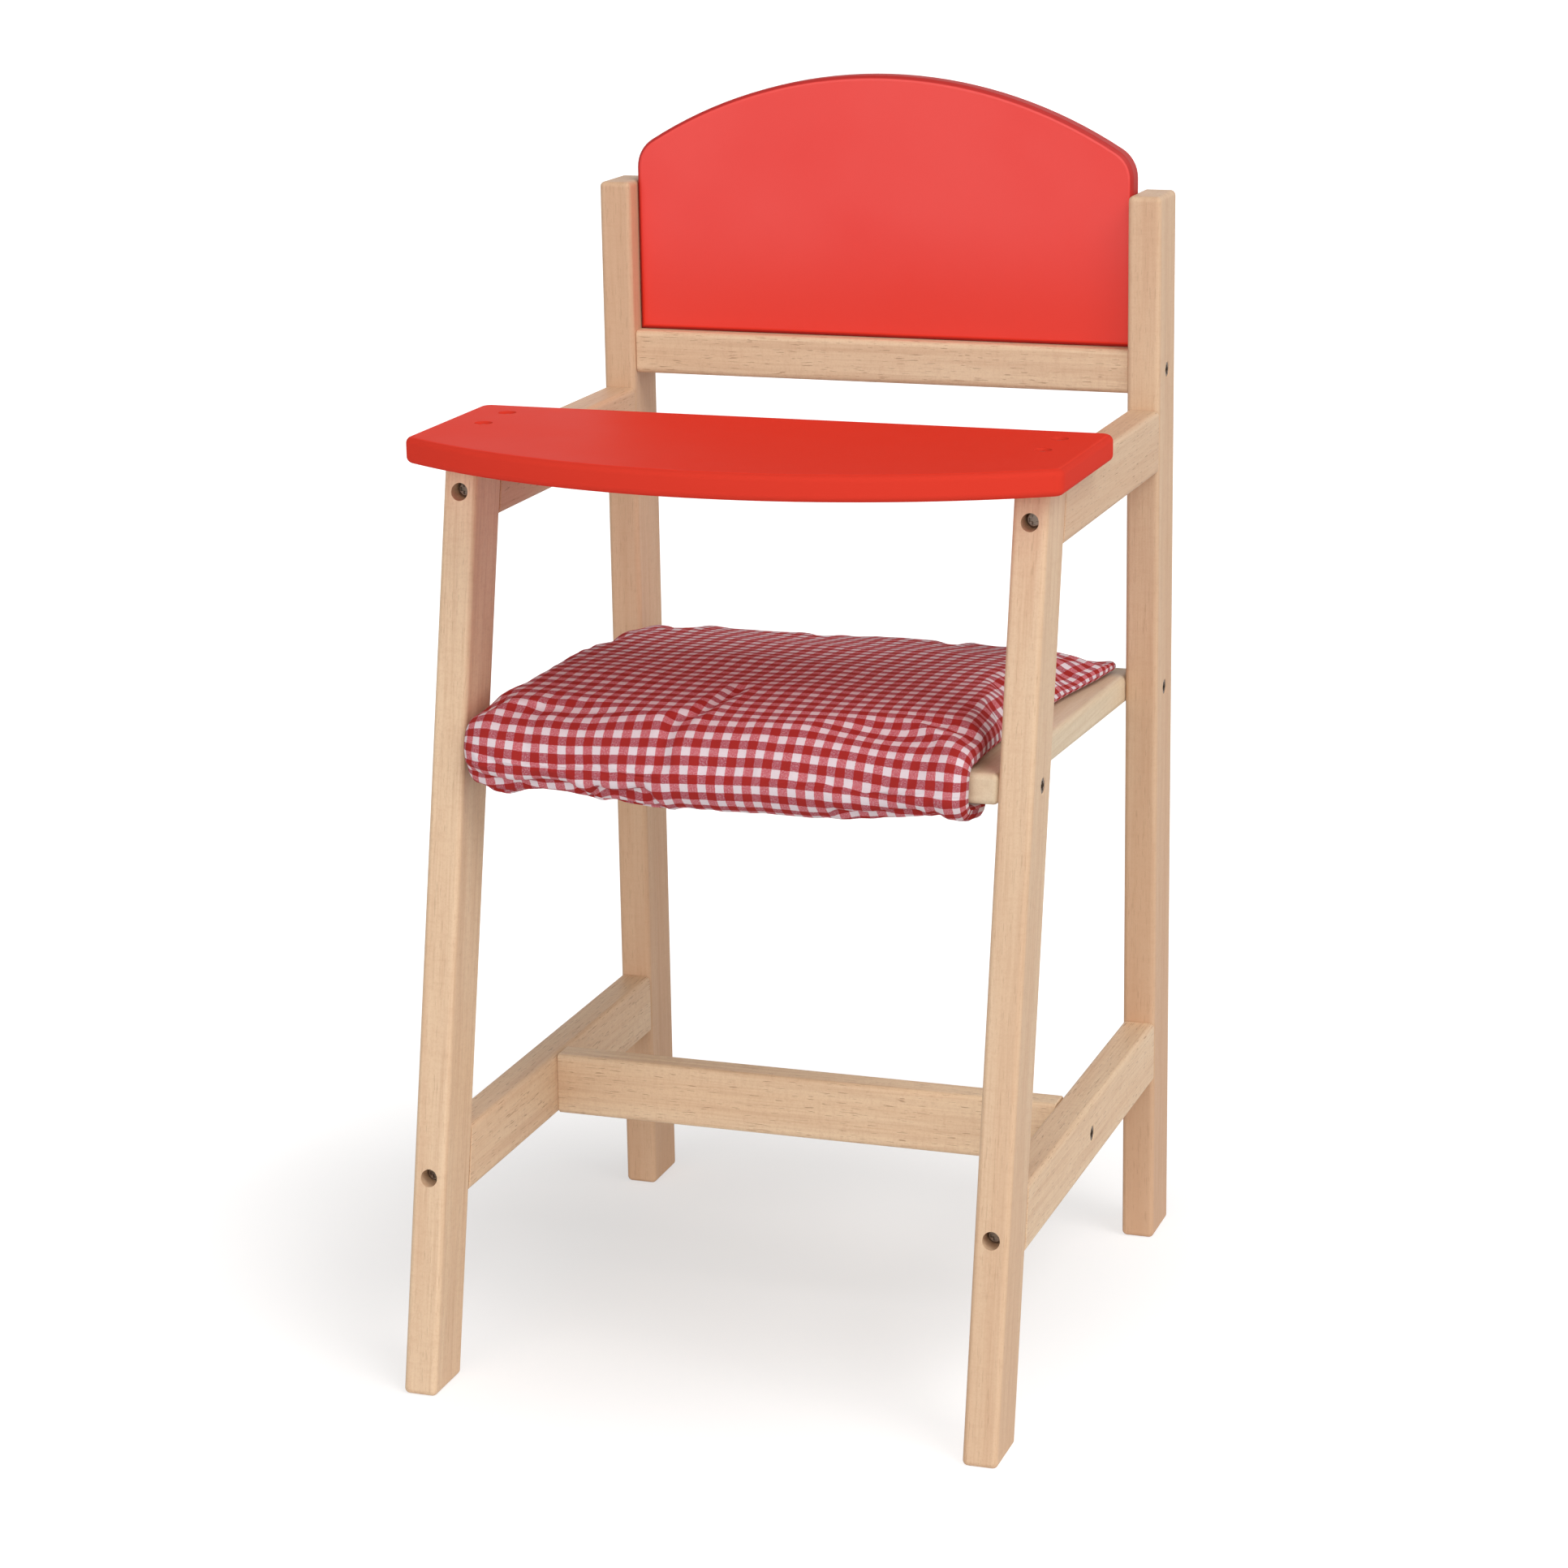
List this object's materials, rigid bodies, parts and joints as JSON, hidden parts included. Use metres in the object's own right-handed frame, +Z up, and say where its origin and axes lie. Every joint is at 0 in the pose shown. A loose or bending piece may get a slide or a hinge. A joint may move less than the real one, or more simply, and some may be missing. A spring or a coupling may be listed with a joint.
{
  "type": "doll high chair",
  "caption": "Wooden doll high chair with leaning front legs, arched backrest panel, fixed bow-front tray and a checked cushion wrapped over the seat.",
  "frame": {"origin": "on the floor, in the middle of the chair's outer box", "axes": "+Z up, the chair faces -Y, +X to the right of a viewer in front of it"},
  "size_m": [0.304, 0.3104, 0.573],
  "materials": {
    "beech": "clear satin varnish over beech",
    "dowel_beech": "bare beech",
    "red_lacquer": "smooth red lacquer with a soft sheen",
    "pine": "clear matt varnish over pine",
    "gingham": "woven cotton check, red and white",
    "cotton_tape": "plain woven cotton tape",
    "hook_tape": "hook tape",
    "screw_steel": "dull zinc-plated steel"
  },
  "bodies": {
    "frame": {"left_rear_post": "beech", "right_rear_post": "beech", "left_front_leg": "beech", "right_front_leg": "beech", "left_armrest": "beech", "right_armrest": "beech", "left_side_stretcher": "beech", "right_side_stretcher": "beech", "crossbar": "beech", "back_rail": "beech", "arm_screws": "screw_steel", "stretcher_screws": "screw_steel", "rail_screws": "screw_steel", "crossbar_screws": "screw_steel", "seat_screws": "screw_steel", "tray_screws": "screw_steel", "arm_dowels": "dowel_beech", "stretcher_dowels": "dowel_beech", "crossbar_dowels": "dowel_beech", "rail_dowels": "dowel_beech", "panel_dowels": "dowel_beech", "backrest_panel": "red_lacquer", "tray": "red_lacquer", "seat_board": "pine", "grip_patches": "hook_tape"},
    "cushion": {"seat_cushion": "gingham", "left_cushion_tie": "cotton_tape", "right_cushion_tie": "cotton_tape"}
  },
  "joints": [
    {"name": "cushion_pull_off", "type": "slide", "parent": "frame", "child": "cushion", "axis": [0, -0.9993, 0.0384], "range_m": [0, 0.25]}
  ]
}
